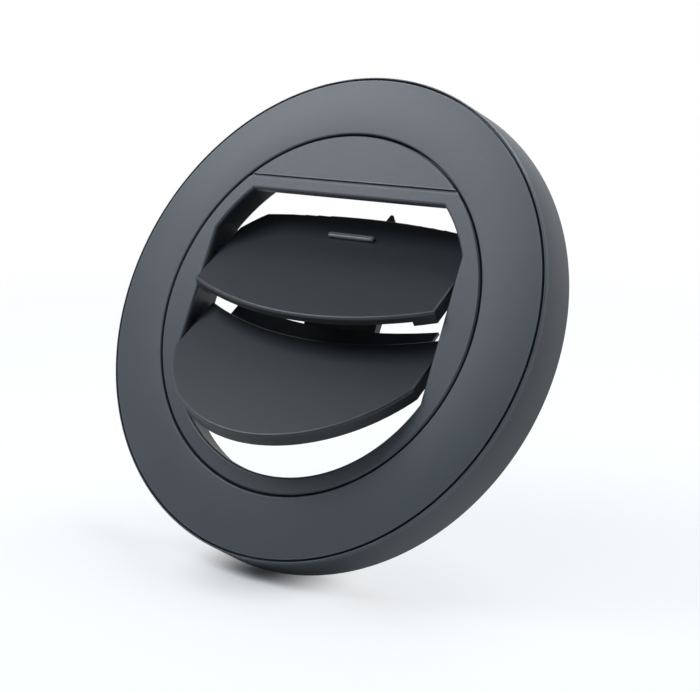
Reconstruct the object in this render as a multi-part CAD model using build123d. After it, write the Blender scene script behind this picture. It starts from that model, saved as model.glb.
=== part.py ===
from build123d import *
import os

# Round warm-air vent for a panel: a bezel ring, an insert that turns in it, and two linked flaps.
# Millimetres and degrees. X is to the right, -Y is out of the front and Z is up.
# The origin is on the vent's axis, in the plane of the panel that the rim rests on.

# Bezel ring, from its sleeve outwards
rim_flare = 0.85
rim_depth = 7.9
face_crown = 0.3
ring_wall = 1.8
edge_round = 0.45
flange_cover = 5.5
collar_space = 2.7
collar_wall = 1.8
collar_reach = 4.0
collar_step = 0.5
collar_relief = 0.4
collar_chamfer = 0.6
sleeve_wall = 1.4
rib_count = 12
rib_thickness = 1.2
rib_setback = 2.4

# Turning insert
opening_radius = 30.4
opening_side_cut = 2.95
opening_top_cut = 8.75
opening_round = 0.5
insert_plate = 1.5
insert_rim = 1.0
skirt_setback = 0.9
skirt_wall = 1.2
skirt_depth = 6.2
cheek_wall = 1.5
line_rise = 2.65
line_width = 0.6
line_depth = 0.4
barb_count = 4
barb_reach = 0.9
barb_height = 1.1
barb_width = 9.0
slot_width = 1.0
slot_margin = 0.7

# Fits between ring and insert
seam_gap = 0.35
seam_chamfer = 0.25
skirt_gap = 0.35
seat_gap = 0.25
barb_gap = 0.3

# Flaps, with heights given as the flaps stand when they are shut
open_angle = 31.0
upper_pivot = 9.3
lower_pivot = -4.6
flap_thickness = 2.4
flap_inset = 2.2
flap_gap = 0.7
flap_round = 0.5
top_lap = 0.55
top_bow = 170.0
parting_height = -5.2
parting_bow = 68.4
lap_width = 4.5
lap_bow = 80.0
lap_gap = 0.3
lap_side_gap = 0.4
lap_lip = 1.5
tongue_inset = 4.3
tongue_root = 1.5

# Pivot pins of the flaps
pin_radius = 1.0
pin_set = 1.2
pin_bite = 1.3
pin_root = 4.0
pin_clearance = 0.05
pin_end_gap = 0.25

# Grip bar and stop nib of the upper flap
grip_length = 10.4
grip_width = 1.2
grip_rise = 0.8
grip_round = 0.4
grip_drop = 6.2
nib_place = 4.7
nib_width = 2.2
nib_reach = 2.0
nib_tip = 0.6
nib_thickness = 1.2

# Link bar between the flaps
crank_rise = 3.8
crank_set = 6.0
link_width = 16.0
link_thickness = 1.6
link_knuckle = 1.8
link_pin_radius = 1.0
ear_thickness = 1.6
ear_radius = 2.2
ear_base = 5.2
ear_gap = 0.3

# Places that follow from the sizes above, the radii from the opening outwards
face_y = -(rim_depth + face_crown)
opening_half_width = opening_radius - opening_side_cut
opening_top = opening_radius - opening_top_cut
skirt_inside = opening_radius + skirt_setback
skirt_radius = skirt_inside + skirt_wall
insert_radius = skirt_radius + insert_rim
seat_radius = insert_radius + seam_gap
bore_radius = skirt_radius + skirt_gap
sleeve_radius = seat_radius + sleeve_wall
collar_radius = sleeve_radius + collar_space + collar_wall
face_radius = collar_radius + flange_cover
pivot_y = face_y + flap_inset + pin_set
flap_half_width = opening_half_width - flap_gap
tongue_half_width = flap_half_width - tongue_inset
ear_inner = link_width / 2 + ear_gap
over_size = 4 * face_radius
overlap = 0.2


def at_depth(depth):
    """Sketch plane that faces the front, this far behind the insert's face."""
    return Plane.XZ.offset(-(face_y + depth))


def slab(sketch, near, far):
    """Solid made from a front-view sketch, between two depths behind the insert's face."""
    return extrude(at_depth(far) * sketch, amount=far - near)


def along_x(radius, start, end, y, z):
    """Round pin or hole parallel to X, between two places on X."""
    plane = Plane(origin=(start, y, z), x_dir=(0, 1, 0), z_dir=(1, 0, 0))
    return extrude(plane * Circle(radius), amount=end - start)


def opened(shape, pivot):
    """Turns a shut flap about its pivot, top edge inwards, to the angle that it stands at."""
    axis_place = Location((0, pivot_y, pivot))
    return axis_place * Rotation(-open_angle, 0, 0) * axis_place.inverse() * shape


def opening_sketch():
    """Outline of the air opening: a circle with straight sides and a straight top."""
    band = Pos(0, opening_top - over_size / 2) * Rectangle(2 * opening_half_width, over_size)
    return Circle(opening_radius) & band


def spokes(count, width):
    """Front-view strips of one width that run outwards from the axis, evenly spread."""
    strips = Sketch()
    for step in range(count):
        strips += Rot(0, 0, 360 * step / count) * Pos(over_size / 2, 0) * Rectangle(over_size, width)
    return strips


def flange_y(radius):
    """Place of the flange's crowned front face at a radius."""
    fall = face_crown * (radius - seat_radius) / (face_radius - seat_radius)
    return face_y + fall


def bezel_ring():
    """Flange with a deep rim, a seat for the insert, a push-in collar and stiffening ribs."""
    rim_radius = face_radius + rim_flare
    root_radius = collar_radius + collar_step
    ledge_y = face_y + insert_plate + seat_gap
    sleeve_end = face_y + skirt_depth - barb_height - barb_gap
    rim_inside = face_radius - ring_wall
    outline = [
        (seat_radius, face_y),
        (face_radius, -rim_depth),
        (rim_radius, 0),
        (rim_radius - ring_wall, 0),
        (rim_inside, flange_y(rim_inside) + ring_wall),
        (root_radius, flange_y(root_radius) + ring_wall),
        (root_radius, -collar_relief),
        (collar_radius, -collar_relief),
        (collar_radius, collar_reach - collar_chamfer),
        (collar_radius - collar_chamfer, collar_reach),
        (collar_radius - collar_wall, collar_reach),
        (collar_radius - collar_wall, flange_y(collar_radius - collar_wall) + ring_wall),
        (sleeve_radius, flange_y(sleeve_radius) + ring_wall),
        (sleeve_radius, sleeve_end),
        (bore_radius, sleeve_end),
        (bore_radius, ledge_y),
        (seat_radius, ledge_y),
    ]
    profile = make_face(Polyline(*outline, close=True))
    front_edge = profile.vertices().sort_by_distance((face_radius, -rim_depth))[0]
    profile = fillet(front_edge, edge_round)
    ring = revolve(profile, Axis.Y)
    rib_y = flange_y(rim_inside) + ring_wall - overlap
    channel = Circle(rim_inside + overlap) - Circle(sleeve_radius - overlap)
    ribs = spokes(rib_count, rib_thickness) & channel
    ring += extrude(Plane.XZ.offset(rib_setback) * ribs, amount=-rib_setback - rib_y)
    seat_edge = ring.edges().filter_by(GeomType.CIRCLE).sort_by_distance((seat_radius, face_y, 0))[0]
    return chamfer(seat_edge, seam_chamfer)


def snap_barbs():
    """Wedges round the skirt that catch behind the ring's sleeve."""
    tip_y = face_y + skirt_depth
    base_y = tip_y - barb_height
    wedge = [
        (skirt_radius - overlap, base_y),
        (skirt_radius + barb_reach, base_y),
        (skirt_radius, tip_y),
        (skirt_radius - overlap, tip_y),
    ]
    band = revolve(make_face(Polyline(*wedge, close=True)), Axis.Y)
    return band & slab(spokes(barb_count, barb_width), 0, skirt_depth)


def vent_insert():
    """Round face with the air opening, a skirt with snap barbs, and cheeks that hold the pivot pins."""
    insert = slab(Circle(insert_radius) - opening_sketch(), 0, insert_plate)
    rim_edge = insert.edges().filter_by(GeomType.CIRCLE).sort_by_distance((insert_radius, face_y, 0))[0]
    insert = chamfer(rim_edge, seam_chamfer)
    lip_edges = insert.edges().filter_by_position(Axis.Y, face_y - overlap, face_y + overlap)
    lip_edges = [edge for edge in lip_edges if (edge @ 0.5 - Vector(0, face_y, 0)).length < skirt_radius]
    insert = fillet(lip_edges, opening_round)
    skirt = Circle(skirt_radius) - Circle(skirt_inside)
    cheek_band = Rectangle(2 * (opening_half_width + cheek_wall), over_size)
    cheek_band -= Rectangle(2 * opening_half_width, over_size)
    insert += slab(skirt + (cheek_band & Circle(skirt_radius)), insert_plate - overlap, skirt_depth)
    slots = spokes(barb_count, barb_width + 2 * slot_width) - spokes(barb_count, barb_width)
    slots &= Circle(skirt_radius + overlap) - Circle(skirt_inside - overlap)
    insert -= slab(slots, insert_plate + slot_margin, skirt_depth + overlap)
    insert += snap_barbs()
    insert -= slab(Pos(0, opening_top + line_rise) * Rectangle(over_size, line_width), -overlap, line_depth)
    hole_end = opening_half_width + pin_bite + pin_end_gap
    for pivot in (upper_pivot, lower_pivot):
        insert -= along_x(pin_radius + pin_clearance, -hole_end, hole_end, pivot_y, pivot)
    return insert


def pivot_pins(pivot):
    """Stub pins at both ends of a flap, running a little way into its back."""
    pin_end = opening_half_width + pin_bite
    pin_start = flap_half_width - pin_root
    right = along_x(pin_radius, pin_start, pin_end, pivot_y, pivot)
    left = along_x(pin_radius, -pin_end, -pin_start, pivot_y, pivot)
    return right + left


def link_ears(pivot):
    """Two ears on a flap's back, with holes for the link bar's pins."""
    back_y = flap_inset - overlap + flap_thickness + face_y
    pin_y = pivot_y + crank_set
    pin_z = pivot + crank_rise
    sides = [
        (back_y, pivot - ear_base / 2),
        (back_y, pivot + ear_base / 2),
        (pin_y, pin_z + ear_radius),
        (pin_y, pin_z - ear_radius),
    ]
    blade = make_face(Polyline(*sides, close=True)) + Pos(pin_y, pin_z) * Circle(ear_radius)
    ears = Part()
    for start in (ear_inner, -ear_inner - ear_thickness):
        plane = Plane(origin=(start, 0, 0), x_dir=(0, 1, 0), z_dir=(1, 0, 0))
        ears += extrude(plane * blade, amount=ear_thickness)
    reach = ear_inner + ear_thickness
    return ears - along_x(link_pin_radius + pin_clearance, -reach, reach, pin_y, pin_z)


def flap_plate(sketch):
    """Flat flap with its front edges rounded."""
    plate = slab(sketch, flap_inset, flap_inset + flap_thickness)
    front = plate.edges().filter_by_position(Axis.Y, face_y, face_y + flap_inset + flap_round)
    return fillet(front, flap_round)


def parting_sketch(gap):
    """Everything above the bowed lower edge of the upper flap, less a gap."""
    return Pos(0, parting_height + parting_bow - gap) * Circle(parting_bow)


def lap_sketch(gap):
    """Everything above the bowed upper edge of the lower flap, plus a gap."""
    return Pos(0, parting_height + lap_width + lap_bow + gap) * Circle(lap_bow)


def flap_window(radius):
    """Round of a flap's outline, with straight sides that clear the cheeks."""
    return Circle(radius) & Rectangle(2 * flap_half_width, over_size)


def tongue_band(gap):
    """Upright strip as wide as the lower flap's tongue, plus a gap at both ends."""
    return Rectangle(2 * (tongue_half_width + gap), over_size)


def grip_bar(height):
    """Rounded bar on the front of the upper flap, to push it with a finger."""
    outline = Pos(0, height) * SlotOverall(grip_length, grip_width)
    bar = slab(outline, flap_inset - grip_rise, flap_inset + overlap)
    front_edges = bar.faces().sort_by(Axis.Y)[0].edges()
    return fillet(front_edges, grip_round)


def stop_nib(height):
    """Small ramp on the upper flap's top edge that stops it behind the insert's face."""
    left = nib_place - nib_width / 2
    right = nib_place + nib_width / 2
    outline = [
        (left, height - flap_thickness),
        (right, height - flap_thickness),
        (right, height),
        (left + nib_tip, height + nib_reach),
        (left, height + nib_reach),
    ]
    front = flap_inset + flap_round
    return slab(make_face(Polyline(*outline, close=True)), front, front + nib_thickness)


def upper_flap():
    """Flap whose top laps behind the insert's face, with a rebate for the lower flap's tongue."""
    top_edge = opening_top + top_lap
    below_top = Pos(0, top_edge - top_bow) * Circle(top_bow)
    window = flap_window(opening_radius + top_lap)
    flap = flap_plate(window & below_top & parting_sketch(0))
    back = flap_inset + flap_thickness
    rebate = (window & tongue_band(lap_side_gap)) - lap_sketch(lap_side_gap)
    flap -= slab(rebate, flap_inset + lap_lip, back + overlap)
    flap += pivot_pins(upper_pivot) + link_ears(upper_pivot)
    flap += grip_bar(top_edge - grip_drop) + stop_nib(top_edge)
    return opened(flap, upper_pivot)


def lower_flap():
    """Half-moon flap with a thin tongue that laps behind the upper flap."""
    window = flap_window(opening_radius - flap_gap)
    flap = flap_plate(window - parting_sketch(lap_side_gap))
    tongue = (tongue_band(0) & parting_sketch(lap_side_gap + tongue_root)) - lap_sketch(0)
    flap += slab(tongue, flap_inset + lap_lip + lap_gap, flap_inset + flap_thickness)
    flap += pivot_pins(lower_pivot) + link_ears(lower_pivot)
    return opened(flap, lower_pivot)


def flap_link():
    """Flat bar with a knuckle and two stub pins at each end, which keeps the flaps parallel."""
    pin_y = pivot_y + crank_set
    upper_z = upper_pivot + crank_rise
    lower_z = lower_pivot + crank_rise
    half_width = link_width / 2
    reach = ear_inner + ear_thickness
    middle = (upper_z + lower_z) / 2
    link = Pos(0, pin_y, middle) * Box(link_width, link_thickness, upper_z - lower_z)
    for pin_z in (upper_z, lower_z):
        link += along_x(link_knuckle, -half_width, half_width, pin_y, pin_z)
        link += along_x(link_pin_radius, -reach, reach, pin_y, pin_z)
    crank = Vector(0, crank_set, crank_rise)
    swing = crank.rotate(Axis.X, -open_angle) - crank
    return Pos(*swing) * link


os.makedirs("parts", exist_ok=True)
nodes = {
    "bezel_ring": bezel_ring(),
    "vent_insert": vent_insert(),
    "upper_flap": upper_flap(),
    "lower_flap": lower_flap(),
    "flap_link": flap_link(),
}
for name, shape in nodes.items():
    export_step(shape, f"parts/{name}.step")
    print(name, "volume", round(shape.volume, 1), "mm3")
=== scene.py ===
# %% [markdown]
# A round warm-air vent, dressed for its picture
# The vent comes as five solids at their real size: a bezel ring, an insert that turns in it, two flaps and
# the bar that links them. They are loaded as a frame that stays where it is. Everything that follows adds a
# camera, light and finish, and one finer mesh, in the same metres and on the same axes as the solids.

# %% Load the frame
import math
import bpy
from mathutils import Matrix, Vector
from mathutils.bvhtree import BVHTree


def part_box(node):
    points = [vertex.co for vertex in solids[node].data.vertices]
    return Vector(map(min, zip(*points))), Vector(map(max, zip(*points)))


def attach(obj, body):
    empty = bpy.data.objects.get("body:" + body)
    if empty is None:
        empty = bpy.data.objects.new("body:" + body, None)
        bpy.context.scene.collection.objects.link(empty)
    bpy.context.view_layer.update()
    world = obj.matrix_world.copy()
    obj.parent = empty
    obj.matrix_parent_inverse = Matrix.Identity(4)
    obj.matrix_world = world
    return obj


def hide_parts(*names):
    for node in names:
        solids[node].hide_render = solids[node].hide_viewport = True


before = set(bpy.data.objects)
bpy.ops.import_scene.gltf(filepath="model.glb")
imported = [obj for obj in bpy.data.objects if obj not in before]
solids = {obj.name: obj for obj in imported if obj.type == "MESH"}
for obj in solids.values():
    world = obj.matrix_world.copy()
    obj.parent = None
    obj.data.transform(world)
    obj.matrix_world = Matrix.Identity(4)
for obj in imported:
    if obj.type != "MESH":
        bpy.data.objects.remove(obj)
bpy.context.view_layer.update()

mm = 0.001
print("solids:", ", ".join(sorted(solids)))

# %% [markdown]
# The vent stands on the lowest edge of its rim and leans back, and its insert is turned by one degree in the
# ring. In its own frame the vent is upright, so here it is the studio that leans and turns: one matrix takes
# a level studio into the vent's frame. The floor touches the rim's lowest point.

# %% The way the vent leans
lean_angle = math.radians(26.81)
insert_turn = math.radians(1.0)
upright = Matrix.Rotation(-insert_turn, 4, "Y")
lean = upright @ Matrix.Rotation(lean_angle, 4, "X")
lean_up = lean @ Vector((0, 0, 1))
rim_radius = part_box("bezel_ring")[1].x
contact = upright @ Vector((0, 0, -rim_radius))
print("floor's up:", [round(value, 3) for value in lean_up])
print("contact in mm:", [round(value / mm, 2) for value in contact])

# %% [markdown]
# The camera stands in the level studio, to the right of the vent and a little above its middle. Its place was
# worked out from the ellipses that the flange, the seam and the opening make in the picture. A look-at matrix
# needs only the place, the point that it looks at and the direction that is up.

# %% Camera
camera_place = lean @ Vector((149.06, -201.87, 48.61)) * mm
camera_aim = lean @ Vector((10.25, -9.48, -1.25)) * mm
camera_lens = 72.0
camera_sensor = 36.0


def looking(place, aim, up):
    """Matrix of something that stands at a place and looks along its own -Z at a point."""
    forward = (aim - place).normalized()
    right = forward.cross(up).normalized()
    turn = Matrix((right, right.cross(forward), -forward)).transposed().to_4x4()
    return Matrix.Translation(place) @ turn


camera = bpy.data.objects.new("camera", bpy.data.cameras.new("camera"))
camera.data.lens = camera_lens
camera.data.sensor_width = camera_sensor
camera.data.clip_start = 0.01
camera.matrix_world = looking(camera_place, camera_aim, lean_up)
bpy.context.scene.collection.objects.link(camera)
bpy.context.scene.camera = camera
bpy.context.scene.view_settings.view_transform = "Standard"
print("camera to vent in mm:", round((camera_aim - camera_place).length / mm, 1))

# %% [markdown]
# Node trees are built many times below, so three short helpers keep that readable: one adds a node and sets
# its plain options, one joins an output to an input, and one declares a named socket on a group.

# %% Helpers for node trees
def add(tree, kind, **options):
    """A new node, with its options and, in a dict named values, its unlinked inputs set."""
    node = tree.nodes.new(kind)
    values = options.pop("values", {})
    for name, value in options.items():
        setattr(node, name, value)
    for name, value in values.items():
        node.inputs[name].default_value = value
    return node


def join(tree, output, target):
    """Links an output socket to an input socket."""
    tree.links.new(output, target)


def socket(tree, name, kind, way="INPUT"):
    """Declares a named socket on a group and returns its identifier."""
    return tree.interface.new_socket(name=name, in_out=way, socket_type=kind).identifier


print("helpers: add, join, socket")

# %% [markdown]
# The studio is a white cove with a dim ceiling. Near the horizon the world is white, which is also the
# background, and overhead it falls to grey. Satin plastic shows this as a soft shine on edges that are seen
# at a low angle, while faces that look up stay dark. The change follows the height of each direction above
# the leaning floor. The camera and reflections see that cove, and matt surfaces get a weaker, even fill from
# it, so that hollows stay as dark as they are in the picture.

# %% World
horizon_light = (1.0, 1.0, 1.0, 1.0)
ceiling_light = (0.18, 0.19, 0.20, 1.0)
fill_light = (0.15, 0.157, 0.165, 1.0)
white_up_to = 10
dim_from = 36


def shown(tree, ray):
    """Output that is 1 for rays from the camera, in reflections and through clear pieces, and 0 otherwise."""
    mirrored = add(tree, "ShaderNodeMath", operation="MAXIMUM")
    shown_at_all = add(tree, "ShaderNodeMath", operation="MAXIMUM")
    join(tree, ray.outputs["Is Camera Ray"], mirrored.inputs[0])
    join(tree, ray.outputs["Is Glossy Ray"], mirrored.inputs[1])
    join(tree, mirrored.outputs["Value"], shown_at_all.inputs[0])
    join(tree, ray.outputs["Is Transmission Ray"], shown_at_all.inputs[1])
    return shown_at_all.outputs["Value"]


world = bpy.data.worlds.new("white_cove")
world.use_nodes = True
bpy.context.scene.world = world
sky = world.node_tree
sky.nodes.clear()
direction = add(sky, "ShaderNodeTexCoord")
height = add(sky, "ShaderNodeVectorMath", operation="DOT_PRODUCT")
height.inputs[1].default_value = lean_up
heights = {"From Min": math.sin(math.radians(white_up_to)), "From Max": math.sin(math.radians(dim_from))}
climb = add(sky, "ShaderNodeMapRange", interpolation_type="SMOOTHSTEP", values=heights)
cove = add(sky, "ShaderNodeMix", data_type="RGBA", values={"A": horizon_light, "B": ceiling_light})
ray = add(sky, "ShaderNodeLightPath")
light_by_ray = add(sky, "ShaderNodeMix", data_type="RGBA", values={"A": fill_light})
background = add(sky, "ShaderNodeBackground")
world_out = add(sky, "ShaderNodeOutputWorld")
join(sky, direction.outputs["Generated"], height.inputs[0])
join(sky, height.outputs["Value"], climb.inputs["Value"])
join(sky, climb.outputs["Result"], cove.inputs["Factor"])
join(sky, shown(sky, ray), light_by_ray.inputs["Factor"])
join(sky, cove.outputs["Result"], light_by_ray.inputs["B"])
join(sky, light_by_ray.outputs["Result"], background.inputs["Color"])
join(sky, background.outputs["Background"], world_out.inputs["Surface"])
print("world: white up to", white_up_to, "degrees, dim from", dim_from, "degrees")

# %% [markdown]
# Three softboxes hang half a metre away. The one above and a little behind lights the parts of the
# flaps that stand out of the face and the top of the rim, and leaves the middle of the flaps in the ring's
# shade. The one at the left makes the face's shine grow towards the top, and a weak one in front fills the
# right side. A lamp's direction is given in the level studio, as degrees to the right of the front and
# degrees up, and the lean carries it into the vent's frame.

# %% Softboxes
lamp_reach = 0.5
lamp_colour = (0.92, 0.97, 1.0)


def softbox(name, around, up, size, power):
    """Square soft lamp that looks at the vent from a direction in the level studio, in degrees."""
    data = bpy.data.lights.new(name, "AREA")
    data.size = size
    data.color = lamp_colour
    data.energy = power
    lamp = bpy.data.objects.new(name, data)
    lamp.visible_camera = False
    bpy.context.scene.collection.objects.link(lamp)
    to_lamp = Vector((0, -lamp_reach, 0))
    to_lamp.rotate(Matrix.Rotation(math.radians(-up), 3, "X"))
    to_lamp.rotate(Matrix.Rotation(math.radians(around), 3, "Z"))
    lamp.matrix_world = looking(lean @ to_lamp, Vector((0, 0, 0)), lean_up)
    print(name, "in the studio at mm", [round(value / mm) for value in to_lamp])


softbox("top_softbox", around=165, up=62, size=0.32, power=2.4)
softbox("left_softbox", around=-56, up=47, size=0.25, power=1.48)
softbox("front_softbox", around=0, up=60, size=0.25, power=0.38)

# %% [markdown]
# The floor is a pale disc that fades out into the white of the world, so no edge of it shows. A large plane
# would do as well, but a disc lets the fade run evenly from the point that the rim stands on.

# %% Floor disc
floor_radius = 0.5
floor_sides = 96

floor_mesh = bpy.data.meshes.new("floor")
ring_of_points = []
for step in range(floor_sides):
    turn = 2 * math.pi * step / floor_sides
    ring_of_points.append(contact + lean @ Vector((math.cos(turn), math.sin(turn), 0)) * floor_radius)
floor_mesh.from_pydata(ring_of_points, [], [range(floor_sides)])
floor = bpy.data.objects.new("floor", floor_mesh)
bpy.context.scene.collection.objects.link(floor)
print("floor: disc of", floor_radius, "m, touching the rim")

# %% [markdown]
# Away from the vent the floor glows white for the camera and for reflections, as a lit sweep of paper does, and
# that glow gives way to plain shaded paper near the point that the rim stands on, where the shadow is dark.
# Reflections see that shade reach further, because the rim's underside looks at it from close by. Matt surfaces
# get less light back from the floor, which keeps the undersides dark. Seen from below the disc is clear, because
# the lean would otherwise put it between the vent and a camera behind it.

# %% Floor paint
fade_from = 0.12
fade_to = 0.40
shade_from = 0.001
shade_to = 0.018
mirror_shade = 0.045
glow_share = 0.75
paper_rough = 0.9
paper_shine = 0.1
floor_colour = (0.86, 0.88, 0.90, 1.0)
bounce_colour = (0.34, 0.35, 0.36, 1.0)
glow_colour = (0.97, 0.985, 1.0, 1.0)

floor_paint = bpy.data.materials.new("floor_paint")
floor_paint.use_nodes = True
floor_mesh.materials.append(floor_paint)
tree = floor_paint.node_tree
paper = tree.nodes["Principled BSDF"]
paper.inputs["Roughness"].default_value = paper_rough
paper.inputs["Specular IOR Level"].default_value = paper_shine
place = add(tree, "ShaderNodeTexCoord")
reach = add(tree, "ShaderNodeVectorMath", operation="DISTANCE")
reach.inputs[1].default_value = contact
fade_range = {"From Min": fade_from, "From Max": fade_to}
fade = add(tree, "ShaderNodeMapRange", interpolation_type="SMOOTHSTEP", values=fade_range)
away_range = {"From Min": shade_from, "To Max": glow_share}
away = add(tree, "ShaderNodeMapRange", interpolation_type="SMOOTHSTEP", values=away_range)
ray = add(tree, "ShaderNodeLightPath")
shown_here = shown(tree, ray)
shade_end = add(tree, "ShaderNodeMath", operation="MULTIPLY_ADD")
shade_end.inputs[1].default_value = mirror_shade
shade_end.inputs[2].default_value = shade_to
tone = add(tree, "ShaderNodeMix", data_type="RGBA", values={"A": bounce_colour, "B": floor_colour})
glow_here = add(tree, "ShaderNodeMath", operation="MULTIPLY")
glow = add(tree, "ShaderNodeEmission", values={"Color": glow_colour})
sweep = add(tree, "ShaderNodeMixShader")
side = add(tree, "ShaderNodeNewGeometry")
unseen = add(tree, "ShaderNodeMath", operation="MAXIMUM")
clear = add(tree, "ShaderNodeBsdfTransparent")
blend = add(tree, "ShaderNodeMixShader")
join(tree, place.outputs["Object"], reach.inputs[0])
join(tree, reach.outputs["Value"], fade.inputs["Value"])
join(tree, fade.outputs["Result"], unseen.inputs[0])
join(tree, side.outputs["Backfacing"], unseen.inputs[1])
join(tree, unseen.outputs["Value"], blend.inputs["Fac"])
join(tree, reach.outputs["Value"], away.inputs["Value"])
join(tree, ray.outputs["Is Glossy Ray"], shade_end.inputs[0])
join(tree, shade_end.outputs["Value"], away.inputs["From Max"])
join(tree, shown_here, tone.inputs["Factor"])
join(tree, tone.outputs["Result"], paper.inputs["Base Color"])
join(tree, shown_here, glow_here.inputs[0])
join(tree, away.outputs["Result"], glow_here.inputs[1])
join(tree, glow_here.outputs["Value"], sweep.inputs["Fac"])
join(tree, paper.outputs["BSDF"], sweep.inputs[1])
join(tree, glow.outputs["Emission"], sweep.inputs[2])
join(tree, sweep.outputs["Shader"], blend.inputs[1])
join(tree, clear.outputs["BSDF"], blend.inputs[2])
join(tree, blend.outputs["Shader"], tree.nodes["Material Output"].inputs["Surface"])
print("floor paint:", len(tree.nodes), "nodes")

# %% [markdown]
# Every piece is moulded plastic with a fine spark-eroded grain. The grain is one node group with its own
# sizes for each material: fine noise gives the height of the grain, and slow noise a faint mottle of tone.
# Both read Object coordinates, which are real metres on every piece, so the grain has one size all over.

# %% Grain group
grain = bpy.data.node_groups.new("moulded_grain", "ShaderNodeTree")
socket(grain, "Grain Scale", "NodeSocketFloat")
socket(grain, "Mottle Scale", "NodeSocketFloat")
socket(grain, "Height", "NodeSocketFloat", "OUTPUT")
socket(grain, "Mottle", "NodeSocketFloat", "OUTPUT")
grain_in = add(grain, "NodeGroupInput")
grain_out = add(grain, "NodeGroupOutput")
grain_place = add(grain, "ShaderNodeTexCoord")
pits = add(grain, "ShaderNodeTexNoise", values={"Detail": 3.0, "Roughness": 0.6})
clouds = add(grain, "ShaderNodeTexNoise", values={"Detail": 2.0, "Roughness": 0.5})
for noise, size in ((pits, "Grain Scale"), (clouds, "Mottle Scale")):
    join(grain, grain_place.outputs["Object"], noise.inputs["Vector"])
    join(grain, grain_in.outputs[size], noise.inputs["Scale"])
join(grain, pits.outputs["Fac"], grain_out.inputs["Height"])
join(grain, clouds.outputs["Fac"], grain_out.inputs["Mottle"])
print("group:", grain.name, [item.name for item in grain.interface.items_tree])

# %% [markdown]
# Edges are painted paler than the faces, a painted highlight for the light that their roundings catch, and they
# are made a little smoother. A mask for that could be painted by hand, but the shape itself knows where its
# edges
# are: an Ambient Occlusion node that looks inwards finds the other side of a corner close by, and finds nothing
# under a flat face. Slow noise breaks the mask up, so that no edge is painted evenly. A second mask adds spots
# of painted highlight.

# %% Painted edge highlight group
edge_begins = 0.95
edge_full = 0.50
patch_low = 0.30
patch_high = 0.60
least_highlight = 0.35

highlight_group = bpy.data.node_groups.new("painted_edge_highlight", "ShaderNodeTree")
socket(highlight_group, "Reach", "NodeSocketFloat")
socket(highlight_group, "Patch Scale", "NodeSocketFloat")
socket(highlight_group, "Edge Share", "NodeSocketFloat")
socket(highlight_group, "Highlight Spot", "NodeSocketFloat")
socket(highlight_group, "Highlight", "NodeSocketFloat", "OUTPUT")
highlight_in = add(highlight_group, "NodeGroupInput")
highlight_out = add(highlight_group, "NodeGroupOutput")
highlight_place = add(highlight_group, "ShaderNodeTexCoord")
inwards = add(highlight_group, "ShaderNodeAmbientOcclusion", inside=True, only_local=True, samples=8)
near_edge = add(highlight_group, "ShaderNodeMapRange", values={"From Min": edge_begins, "From Max": edge_full})
patches = add(highlight_group, "ShaderNodeTexNoise", values={"Detail": 2.0})
patch_range = {"From Min": patch_low, "From Max": patch_high, "To Min": least_highlight}
uneven = add(highlight_group, "ShaderNodeMapRange", values=patch_range)
patchy_edge = add(highlight_group, "ShaderNodeMath", operation="MULTIPLY")
edge_part = add(highlight_group, "ShaderNodeMath", operation="MULTIPLY")
# Painted highlight: this mask marks where edges and spots are painted paler.
highlight_mask = add(highlight_group, "ShaderNodeMath", operation="MAXIMUM")
join(highlight_group, highlight_in.outputs["Reach"], inwards.inputs["Distance"])
join(highlight_group, inwards.outputs["AO"], near_edge.inputs["Value"])
join(highlight_group, highlight_place.outputs["Object"], patches.inputs["Vector"])
join(highlight_group, highlight_in.outputs["Patch Scale"], patches.inputs["Scale"])
join(highlight_group, patches.outputs["Fac"], uneven.inputs["Value"])
join(highlight_group, near_edge.outputs["Result"], patchy_edge.inputs[0])
join(highlight_group, uneven.outputs["Result"], patchy_edge.inputs[1])
join(highlight_group, patchy_edge.outputs["Value"], edge_part.inputs[0])
join(highlight_group, highlight_in.outputs["Edge Share"], edge_part.inputs[1])
join(highlight_group, edge_part.outputs["Value"], highlight_mask.inputs[0])
join(highlight_group, highlight_in.outputs["Highlight Spot"], highlight_mask.inputs[1])
join(highlight_group, highlight_mask.outputs["Value"], highlight_out.inputs["Highlight"])
print("group:", highlight_group.name, [item.name for item in highlight_group.interface.items_tree])

# %% [markdown]
# A finish puts both groups to use. The mottle moves the colour between two close tones, the height of the
# grain goes through a Bump node, and the same height breaks up the roughness, as the tips of a real grain
# are a little smoother than its pits. The edge mask paints a paler tone, a painted highlight, and smooths the
# grain.

# %% Plastic finishes
highlight_reach = 0.4 * mm
edge_rough = 0.34
grain_strength = 0.6


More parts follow.
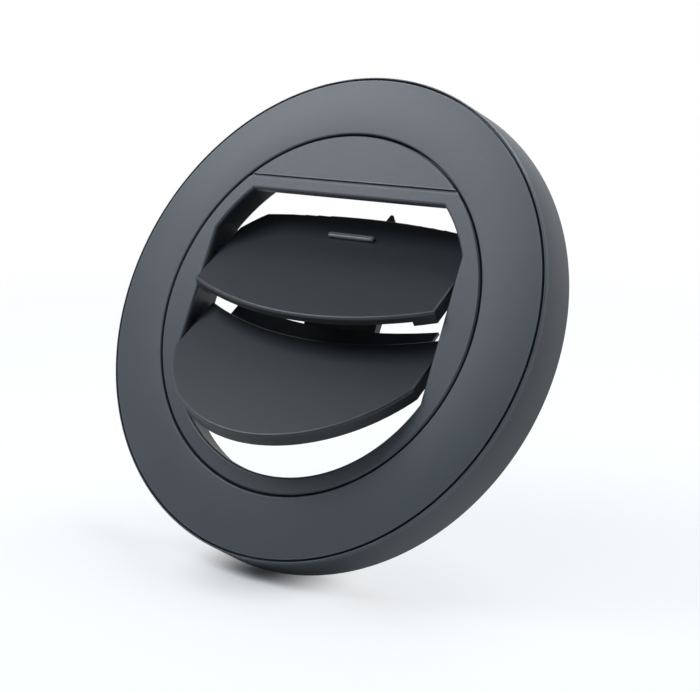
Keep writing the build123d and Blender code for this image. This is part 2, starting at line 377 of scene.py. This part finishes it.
def moulded_plastic(name, dark, light, highlight_tone, edge_share, rough, grain_size, grain_depth, mottle_size):
    """Matt plastic with a fine grain: two tones, a paler one painted on edges as a highlight, a pair of
    roughnesses, and sizes in metres.
    """
    finish = bpy.data.materials.new(name)
    finish.use_nodes = True
    tree = finish.node_tree
    body = tree.nodes["Principled BSDF"]
    grain_sizes = {"Grain Scale": 1 / grain_size, "Mottle Scale": 1 / mottle_size}
    texture = add(tree, "ShaderNodeGroup", node_tree=grain, values=grain_sizes)
    tone = add(tree, "ShaderNodeMix", data_type="RGBA", values={"A": (*dark, 1.0), "B": (*light, 1.0)})
    highlight_sizes = {"Reach": highlight_reach, "Edge Share": edge_share, "Patch Scale": 1 / mottle_size}
    painted_highlight = add(tree, "ShaderNodeGroup", node_tree=highlight_group, name="painted_highlight", values=highlight_sizes)
    # Painted highlight: the edge mask turns the colour to the paler tone.
    highlighted_tone = add(tree, "ShaderNodeMix", data_type="RGBA", values={"B": (*highlight_tone, 1.0)})
    gloss = add(tree, "ShaderNodeMapRange", values={"To Min": rough[0], "To Max": rough[1]})
    edge_gloss = add(tree, "ShaderNodeMix", values={"B": edge_rough})
    relief = add(tree, "ShaderNodeBump", values={"Strength": grain_strength, "Distance": grain_depth})
    join(tree, texture.outputs["Mottle"], tone.inputs["Factor"])
    join(tree, tone.outputs["Result"], highlighted_tone.inputs["A"])
    join(tree, painted_highlight.outputs["Highlight"], highlighted_tone.inputs["Factor"])
    join(tree, highlighted_tone.outputs["Result"], body.inputs["Base Color"])
    join(tree, texture.outputs["Height"], gloss.inputs["Value"])
    join(tree, gloss.outputs["Result"], edge_gloss.inputs["A"])
    join(tree, painted_highlight.outputs["Highlight"], edge_gloss.inputs["Factor"])
    join(tree, edge_gloss.outputs["Result"], body.inputs["Roughness"])
    join(tree, texture.outputs["Height"], relief.inputs["Height"])
    join(tree, relief.outputs["Normal"], body.inputs["Normal"])
    return finish


# The palest tone of each finish is the colour of its painted edge highlight.
bezel_plastic = moulded_plastic(
    "bezel_plastic",
    dark=(0.038, 0.051, 0.064),
    light=(0.045, 0.060, 0.074),
    highlight_tone=(0.085, 0.105, 0.125),
    edge_share=1.0,
    rough=(0.50, 0.36),
    grain_size=0.30 * mm,
    grain_depth=0.03 * mm,
    mottle_size=9 * mm,
)
insert_plastic = moulded_plastic(
    "insert_plastic",
    dark=(0.036, 0.048, 0.060),
    light=(0.042, 0.056, 0.070),
    highlight_tone=(0.080, 0.100, 0.120),
    edge_share=1.0,
    rough=(0.50, 0.36),
    grain_size=0.30 * mm,
    grain_depth=0.03 * mm,
    mottle_size=7 * mm,
)
# The flaps' pale tone is strong for the painted highlight on the grip bar; their edges take a fifth of it.
flap_plastic = moulded_plastic(
    "flap_plastic",
    dark=(0.009, 0.012, 0.017),
    light=(0.012, 0.016, 0.023),
    highlight_tone=(0.110, 0.120, 0.132),
    edge_share=0.2,
    rough=(0.44, 0.34),
    grain_size=0.20 * mm,
    grain_depth=0.015 * mm,
    mottle_size=12 * mm,
)
link_plastic = moulded_plastic(
    "link_plastic",
    dark=(0.009, 0.010, 0.012),
    light=(0.012, 0.0135, 0.016),
    highlight_tone=(0.025, 0.027, 0.030),
    edge_share=0.6,
    rough=(0.52, 0.42),
    grain_size=0.25 * mm,
    grain_depth=0.015 * mm,
    mottle_size=8 * mm,
)
finishes = (bezel_plastic, insert_plastic, flap_plastic, link_plastic)
print("finishes:", ", ".join(finish.name for finish in finishes))

# %% [markdown]
# Behind its face the insert is painted darker, as painted shade for the hollow of the opening. One material can
# hold both tones, because the depth behind the face tells them apart. The mask goes into the link that already
# feeds the colour, so the mottle and the painted edge highlight stay on the face, and the shine stays the same
# all over.

# %% Painted shade inside the insert
# Painted shade: the colour of the insert's walls behind its face.
painted_shade_colour = (0.012, 0.016, 0.020, 1.0)
lip_rounding = 0.5 * mm
tone_change = 0.8 * mm
inside_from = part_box("vent_insert")[0].y + lip_rounding
inside_to = inside_from + tone_change

tree = insert_plastic.node_tree
body = tree.nodes["Principled BSDF"]
inside_at = add(tree, "ShaderNodeTexCoord")
depth_behind = add(tree, "ShaderNodeSeparateXYZ")
inside = add(tree, "ShaderNodeMapRange", values={"From Min": inside_from, "From Max": inside_to})
# Painted shade: mixes the darker colour in behind the face.
painted_shade_tone = add(tree, "ShaderNodeMix", data_type="RGBA", values={"B": painted_shade_colour})
join(tree, inside_at.outputs["Object"], depth_behind.inputs["Vector"])
join(tree, depth_behind.outputs["Y"], inside.inputs["Value"])
join(tree, body.inputs["Base Color"].links[0].from_socket, painted_shade_tone.inputs["A"])
join(tree, inside.outputs["Result"], painted_shade_tone.inputs["Factor"])
join(tree, painted_shade_tone.outputs["Result"], body.inputs["Base Color"])
print("inside from depth in mm:", round(inside_from / mm, 2))

# %% [markdown]
# The bar on the upper flap is painted paler all over, a painted highlight for the light that catches its raised
# face. Its mask is an egg-shaped space round the bar: a Mapping node of the texture kind moves the space to the
# bar, turns it with the open flap and stretches it to the bar's size, so that a plain distance of 1 is the edge
# of the egg. The flap under the bar lies outside it.

# %% Painted highlight on the grip bar
flap_open = math.radians(31)
flap_hinge = Vector((0, -4.8, 9.3)) * mm
grip_when_shut = Vector((0, -6.8, 16.0)) * mm
egg_size = (7.5 * mm, 0.75 * mm, 1.3 * mm)
egg_edge = 1.0
egg_full = 0.8
flap_turn = Matrix.Rotation(-flap_open, 3, "X")
grip_place = flap_hinge + flap_turn @ (grip_when_shut - flap_hinge)

tree = flap_plastic.node_tree
# Painted highlight: the egg mask feeds the edge mask, so the bar takes the paler tone.
grip_highlight_at = add(tree, "ShaderNodeTexCoord")
egg_space = {"Location": grip_place, "Rotation": (-flap_open, 0, 0), "Scale": egg_size}
egg = add(tree, "ShaderNodeMapping", vector_type="TEXTURE", values=egg_space)
from_middle = add(tree, "ShaderNodeVectorMath", operation="LENGTH")
grip_highlight = add(tree, "ShaderNodeMapRange", values={"From Min": egg_edge, "From Max": egg_full})
join(tree, grip_highlight_at.outputs["Object"], egg.inputs["Vector"])
join(tree, egg.outputs["Vector"], from_middle.inputs[0])
join(tree, from_middle.outputs["Value"], grip_highlight.inputs["Value"])
join(tree, grip_highlight.outputs["Result"], tree.nodes["painted_highlight"].inputs["Highlight Spot"])
print("grip bar in mm:", [round(value / mm, 2) for value in grip_place])

# %% [markdown]
# The bezel ring is a main piece whose shape follows a rule: one profile turned round an axis, with twelve
# ribs behind it. Spin or Screw modifiers could turn it, but a Geometry Nodes tree keeps the steps in view:
# round the profile's corners, sweep it along a circle, set out the ribs, and unite them.
# The profile is drawn as distance from the axis and depth, and each point's own radius is its rounding. A fine
# groove runs just inside the flange's edge. It shows as the dark line beside the rim, so it is drawn here too.

# %% Profile of the bezel ring
face_radius = 45.25 * mm
face_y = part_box("bezel_ring")[0].y
face_edge_y = -7.9 * mm
collar_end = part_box("bezel_ring")[1].y
ring_wall = 1.8 * mm
seat_radius = 33.85 * mm
bore_radius = 32.85 * mm
sleeve_radius = 35.25 * mm
sleeve_end = -3.4 * mm
ledge_y = -6.45 * mm
collar_radius = 39.75 * mm
collar_wall = 1.8 * mm
collar_step = 0.5 * mm
collar_relief = 0.4 * mm
rim_inside = face_radius - ring_wall
collar_inside = collar_radius - collar_wall
collar_root = collar_radius + collar_step


def under(radius):
    """Depth of the flange's back, one wall behind its slightly crowned front."""
    outwards = (radius - seat_radius) / (face_radius - seat_radius)
    return face_y + outwards * (face_edge_y - face_y) + ring_wall


groove_inside = 44.62 * mm
groove_outside = 45.00 * mm
groove_depth = 1.1 * mm
groove_drop = 0.1 * mm
corners = [
    (seat_radius, face_y, 0.30 * mm),
    (groove_inside, under(groove_inside) - ring_wall, 0.05 * mm),
    (groove_inside, face_edge_y + groove_depth, 0.10 * mm),
    (groove_outside, face_edge_y + groove_depth, 0.10 * mm),
    (groove_outside, face_edge_y + groove_drop, 0.05 * mm),
    (face_radius, face_edge_y + groove_drop, 0.22 * mm),
    (rim_radius, 0, 0.30 * mm),
    (rim_radius - ring_wall, 0, 0.20 * mm),
    (rim_inside, under(rim_inside), 0.50 * mm),
    (collar_root, under(collar_root), 0.30 * mm),
    (collar_root, -collar_relief, 0.10 * mm),
    (collar_radius, -collar_relief, 0.10 * mm),
    (collar_radius, collar_end, 0.60 * mm),
    (collar_inside, collar_end, 0.20 * mm),
    (collar_inside, under(collar_inside), 0.30 * mm),
    (sleeve_radius, under(sleeve_radius), 0.30 * mm),
    (sleeve_radius, sleeve_end, 0.20 * mm),
    (bore_radius, sleeve_end, 0.20 * mm),
    (bore_radius, ledge_y, 0.15 * mm),
    (seat_radius, ledge_y, 0.10 * mm),
]
profile = bpy.data.curves.new("ring_profile", "CURVE")
line = profile.splines.new("POLY")
line.points.add(len(corners) - 1)
line.use_cyclic_u = True
for point, (radius, depth, rounding) in zip(line.points, corners):
    point.co = (radius - face_radius, depth, 0, 1)
    point.radius = rounding
print("profile:", len(corners), "corners")

# %% [markdown]
# The tree has named inputs for its sizes. A modifier's inputs are set by the identifier of each socket,
# before the object is first evaluated. A sweep lays the profile's first axis along the circle's outward
# normal, so turning the swept ring a quarter about X stands its axis along Y, like the solid's.

# %% Tree that turns the ring
turning = bpy.data.node_groups.new("turned_ring", "GeometryNodeTree")
socket(turning, "Profile", "NodeSocketGeometry")
ring_socket = {}
for name, kind in (
    ("Spine Radius", "NodeSocketFloat"),
    ("Steps Round", "NodeSocketInt"),
    ("Corner Steps", "NodeSocketInt"),
    ("Rib Count", "NodeSocketInt"),
    ("Rib Size", "NodeSocketVector"),
    ("Rib Circle", "NodeSocketFloat"),
    ("Rib Level", "NodeSocketFloat"),
    ("Finish", "NodeSocketMaterial"),
):
    ring_socket[name] = socket(turning, name, kind)
socket(turning, "Ring", "NodeSocketGeometry", "OUTPUT")
given = add(turning, "NodeGroupInput").outputs
made = add(turning, "NodeGroupOutput").inputs
quarter_turn = (math.pi / 2, 0, 0)

own_radius = add(turning, "GeometryNodeInputRadius")
rounded = add(turning, "GeometryNodeFilletCurve", mode="POLY", values={"Limit Radius": True})
spine = add(turning, "GeometryNodeCurvePrimitiveCircle", mode="RADIUS")
swept = add(turning, "GeometryNodeCurveToMesh")
stood = add(turning, "GeometryNodeTransform", values={"Rotation": quarter_turn})
join(turning, given["Profile"], rounded.inputs["Curve"])
join(turning, own_radius.outputs["Radius"], rounded.inputs["Radius"])
join(turning, given["Corner Steps"], rounded.inputs["Count"])
join(turning, given["Steps Round"], spine.inputs["Resolution"])
join(turning, given["Spine Radius"], spine.inputs["Radius"])
join(turning, spine.outputs["Curve"], swept.inputs["Curve"])
join(turning, rounded.outputs["Curve"], swept.inputs["Profile Curve"])
join(turning, swept.outputs["Mesh"], stood.inputs["Geometry"])
print("sweep:", len(turning.nodes), "nodes")

# %% [markdown]
# The ribs repeat, so they are one block set out on a circle of points. Each instance turns by its share of a
# whole turn. Instances are made real before the union, because only real meshes can be united and exported.

# %% Ribs behind the flange
places = add(turning, "GeometryNodeMeshCircle")
level = add(turning, "ShaderNodeCombineXYZ")
set_out = add(turning, "GeometryNodeTransform", values={"Rotation": quarter_turn})
block = add(turning, "GeometryNodeMeshCube")
number = add(turning, "GeometryNodeInputIndex")
share = add(turning, "ShaderNodeMath", operation="DIVIDE")
angle = add(turning, "ShaderNodeMath", operation="MULTIPLY")
angle.inputs[1].default_value = -2 * math.pi
about_axis = add(turning, "ShaderNodeCombineXYZ")
facing = add(turning, "FunctionNodeEulerToRotation")
ribs = add(turning, "GeometryNodeInstanceOnPoints")
real_ribs = add(turning, "GeometryNodeRealizeInstances")
union = add(turning, "GeometryNodeMeshBoolean", operation="UNION", solver="MANIFOLD")
join(turning, given["Rib Count"], places.inputs["Vertices"])
join(turning, given["Rib Circle"], places.inputs["Radius"])
join(turning, given["Rib Level"], level.inputs["Y"])
join(turning, level.outputs["Vector"], set_out.inputs["Translation"])
join(turning, places.outputs["Mesh"], set_out.inputs["Geometry"])
join(turning, given["Rib Size"], block.inputs["Size"])
join(turning, number.outputs["Index"], share.inputs[0])
join(turning, given["Rib Count"], share.inputs[1])
join(turning, share.outputs["Value"], angle.inputs[0])
join(turning, angle.outputs["Value"], about_axis.inputs["Y"])
join(turning, about_axis.outputs["Vector"], facing.inputs["Euler"])
join(turning, set_out.outputs["Geometry"], ribs.inputs["Points"])
join(turning, block.outputs["Mesh"], ribs.inputs["Instance"])
join(turning, facing.outputs["Rotation"], ribs.inputs["Rotation"])
join(turning, ribs.outputs["Instances"], real_ribs.inputs["Geometry"])
join(turning, stood.outputs["Geometry"], union.inputs["Mesh 2"])
join(turning, real_ribs.outputs["Geometry"], union.inputs["Mesh 2"])
print("sweep and ribs:", len(turning.nodes), "nodes")

# %% [markdown]
# Curved faces shade smoothly, and only edges sharper than about 30 degrees stay crisp. The tree ends by
# making everything real and giving it its finish.

# %% Smooth faces and finish of the ring
crisp_angle = math.radians(30)
bend = add(turning, "GeometryNodeInputMeshEdgeAngle")
crisp = add(turning, "ShaderNodeMath", operation="GREATER_THAN")
crisp.inputs[1].default_value = crisp_angle
smooth = add(turning, "GeometryNodeSetShadeSmooth", domain="FACE")
edges = add(turning, "GeometryNodeSetShadeSmooth", domain="EDGE", values={"Shade Smooth": False})
whole = add(turning, "GeometryNodeRealizeInstances")
painted = add(turning, "GeometryNodeSetMaterial")
join(turning, bend.outputs["Unsigned Angle"], crisp.inputs[0])
join(turning, union.outputs["Mesh"], smooth.inputs["Geometry"])
join(turning, smooth.outputs["Geometry"], edges.inputs["Geometry"])
join(turning, crisp.outputs["Value"], edges.inputs["Selection"])
join(turning, edges.outputs["Geometry"], whole.inputs["Geometry"])
join(turning, whole.outputs["Geometry"], painted.inputs["Geometry"])
join(turning, given["Finish"], painted.inputs["Material"])
join(turning, painted.outputs["Geometry"], made["Ring"])
print("whole tree:", len(turning.nodes), "nodes")

# %% [markdown]
# The tree runs as a modifier on the profile. Its result is read once as a plain mesh, the maker is removed,
# and the new ring takes the solid ring's place on the same body.

# %% Make the ring
rib_overlap = 0.2 * mm
rib_from = sleeve_radius - rib_overlap
rib_to = rim_inside + rib_overlap
rib_front = under(rim_inside) - rib_overlap
rib_back = -2.4 * mm
rib_thickness = 1.2 * mm
ring_values = {
    "Spine Radius": face_radius,
    "Steps Round": 240,
    "Corner Steps": 5,
    "Rib Count": 12,
    "Rib Size": (rib_to - rib_from, rib_back - rib_front, rib_thickness),
    "Rib Circle": (rib_from + rib_to) / 2,
    "Rib Level": (rib_front + rib_back) / 2,
    "Finish": bezel_plastic,
}


def plain_mesh(maker):
    """The evaluated shape of an object as a mesh of its own."""
    evaluated = maker.evaluated_get(bpy.context.evaluated_depsgraph_get())
    return bpy.data.meshes.new_from_object(evaluated)


ring_maker = bpy.data.objects.new("ring_maker", profile)
bpy.context.scene.collection.objects.link(ring_maker)
modifier = ring_maker.modifiers.new("turned_ring", "NODES")
modifier.node_group = turning
for name, value in ring_values.items():
    modifier[ring_socket[name]] = value
ring_mesh = plain_mesh(ring_maker)
ring_mesh.name = "bezel_ring_turned"
bpy.data.objects.remove(ring_maker)
ring = bpy.data.objects.new("bezel_ring_turned", ring_mesh)
bpy.context.scene.collection.objects.link(ring)
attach(ring, "ring")
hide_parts("bezel_ring")
print("ring:", len(ring_mesh.vertices), "points", len(ring_mesh.polygons), "faces")

# %% [markdown]
# A piece that stands for a solid has to keep its form. The distance from each of the solid's points to the new
# surface is a quick test of that: a large one would mean that a form of the solid is missing here.

# %% Compare the ring with its solid
surface = BVHTree.FromObject(ring, bpy.context.evaluated_depsgraph_get())
gaps = [surface.find_nearest(vertex.co)[3] for vertex in solids["bezel_ring"].data.vertices]
print("ring to solid in mm: largest", round(max(gaps) / mm, 3), "mean", round(sum(gaps) / len(gaps) / mm, 4))

# %% [markdown]
# The insert, the flaps and the link bar keep the solids' own meshes, whose shapes are right, and only take a
# finish.

# %% Dress the other solids
dress = {
    "vent_insert": insert_plastic,
    "upper_flap": flap_plastic,
    "lower_flap": flap_plastic,
    "flap_link": link_plastic,
}
for name, finish in dress.items():
    solids[name].material_slots[0].material = finish
print("dressed:", ", ".join(dress))
